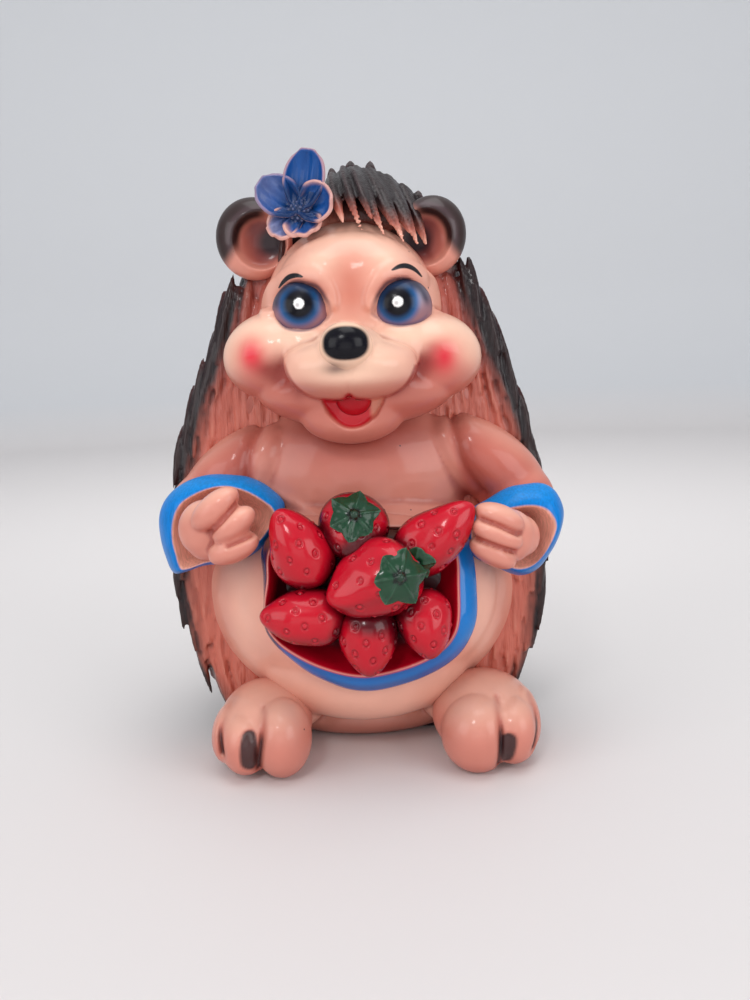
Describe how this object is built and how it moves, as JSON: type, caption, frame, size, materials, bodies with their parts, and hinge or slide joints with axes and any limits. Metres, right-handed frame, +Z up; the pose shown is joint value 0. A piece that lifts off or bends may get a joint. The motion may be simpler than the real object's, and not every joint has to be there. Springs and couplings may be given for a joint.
{
  "type": "hedgehog figurine",
  "caption": "Glossy painted plaster hedgehog figurine, sitting upright with a flower by one ear, holding strawberries in its lifted apron.",
  "frame": {"origin": "on the ground, at the middle of the figurine's width and depth", "axes": "+Z up, -Y towards the front (the face), +X to the viewer's right as the face is seen from the front"},
  "size_m": [0.2244, 0.2118, 0.3196],
  "materials": {
    "brown_quills": "dark brown paint under clear gloss lacquer",
    "pink_brown_tufts": "brown fading to pink, under clear gloss lacquer",
    "skin": "peach pink paint with airbrushed brown creases, under clear gloss lacquer",
    "nose_black": "black paint with a soft pink rim, under clear gloss lacquer",
    "mouth_red": "bright red paint, under clear gloss lacquer",
    "red_lining": "crimson paint, wet-looking gloss",
    "blue_border": "azure blue brushed paint, gloss",
    "flower_centre": "blue-black paint, gloss",
    "leaf_green": "dark green paint, gloss",
    "berry_red": "crimson paint with darker shading, wet-looking gloss",
    "eye_paint": "white, blue and black paint, gloss",
    "ear_paint": "dark brown outside and pink inside, gloss",
    "pink_fur": "salmon paint with brown-red grooves, gloss",
    "petal_blue": "deep blue inside fading to pink edges, gloss"
  },
  "bodies": {
    "root": {"apron_hem": "blue_border", "apron_pouch": "red_lining", "crown_tufts": "pink_brown_tufts", "flower_button": "flower_centre", "head_shell": "skin", "left_cuff_border": "blue_border", "left_ear": "ear_paint", "left_eye": "eye_paint", "left_fist": "skin", "left_foot": "skin", "left_fur": "pink_fur", "left_sleeve": "skin", "nose": "nose_black", "petal_1": "petal_blue", "petal_2": "petal_blue", "petal_3": "petal_blue", "petal_4": "petal_blue", "petal_5": "petal_blue", "quill_coat": "brown_quills", "right_cuff_border": "blue_border", "right_ear": "ear_paint", "right_eye": "eye_paint", "right_fist": "skin", "right_foot": "skin", "right_fur": "pink_fur", "right_sleeve": "skin", "strawberry_bottom": "berry_red", "strawberry_front": "berry_red", "strawberry_front_calyx": "leaf_green", "strawberry_lower_left": "berry_red", "strawberry_lower_right": "berry_red", "strawberry_top": "berry_red", "strawberry_top_calyx": "leaf_green", "strawberry_upper_left": "berry_red", "strawberry_upper_right": "berry_red", "strawberry_upper_right_calyx": "leaf_green", "tongue": "mouth_red", "torso_shell": "skin"}
  },
  "joints": []
}
